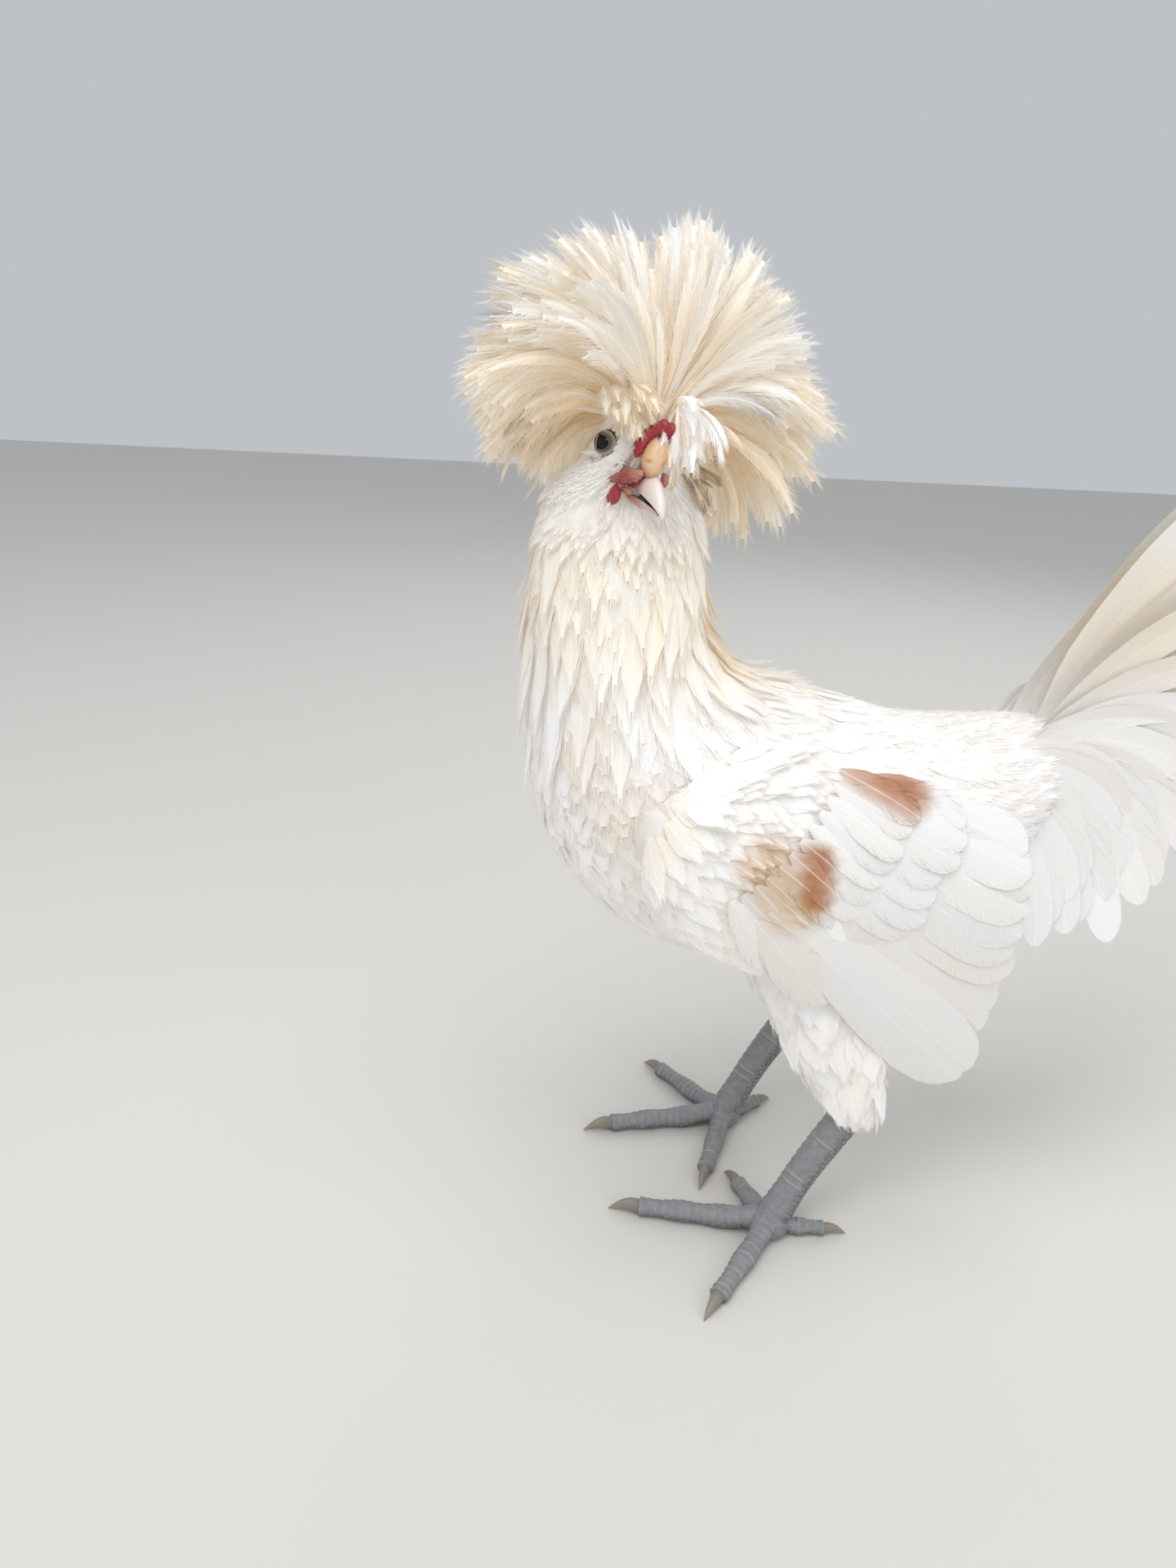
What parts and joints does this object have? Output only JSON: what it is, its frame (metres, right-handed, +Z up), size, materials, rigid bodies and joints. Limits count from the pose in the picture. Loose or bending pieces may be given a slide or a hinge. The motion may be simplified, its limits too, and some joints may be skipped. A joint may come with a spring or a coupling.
{
  "type": "crested chicken",
  "caption": "Life-size standing crested cockerel, head turned to its left under a full feather crest, wings folded low and tail fanned; a still display model.",
  "frame": {"origin": "middle of the box round the whole bird, on the floor it stands on", "axes": "+Z up, -Y the way the body faces, +X the bird's left side, the way its head looks"},
  "size_m": [0.1896, 0.4526, 0.4316],
  "materials": {
    "plumage": "matte white contour, hackle, wing and tail feathers",
    "crest": "matte cream crest feathers",
    "skin": "soft red skin of comb and wattles",
    "horn": "pale satin horn of the beak with buff nostrils",
    "claw": "tan satin horn of the claws",
    "scale": "slate blue satin scutes",
    "eye": "wet dark eye"
  },
  "bodies": {
    "root": {"torso": "plumage", "neck": "plumage", "head": "plumage", "tail": "plumage", "beak_upper": "horn", "beak_lower": "horn", "comb": "skin", "crest": "crest", "eye_left": "eye", "wattle_left": "skin", "wing_left": "plumage", "thigh_left": "plumage", "shank_left": "scale", "toe_middle_left": "scale", "claw_middle_left": "claw", "toe_outer_left": "scale", "claw_outer_left": "claw", "toe_inner_left": "scale", "claw_inner_left": "claw", "toe_hind_left": "scale", "claw_hind_left": "claw", "eye_right": "eye", "wattle_right": "skin", "wing_right": "plumage", "thigh_right": "plumage", "shank_right": "scale", "toe_middle_right": "scale", "claw_middle_right": "claw", "toe_outer_right": "scale", "claw_outer_right": "claw", "toe_inner_right": "scale", "claw_inner_right": "claw", "toe_hind_right": "scale", "claw_hind_right": "claw"}
  },
  "joints": []
}
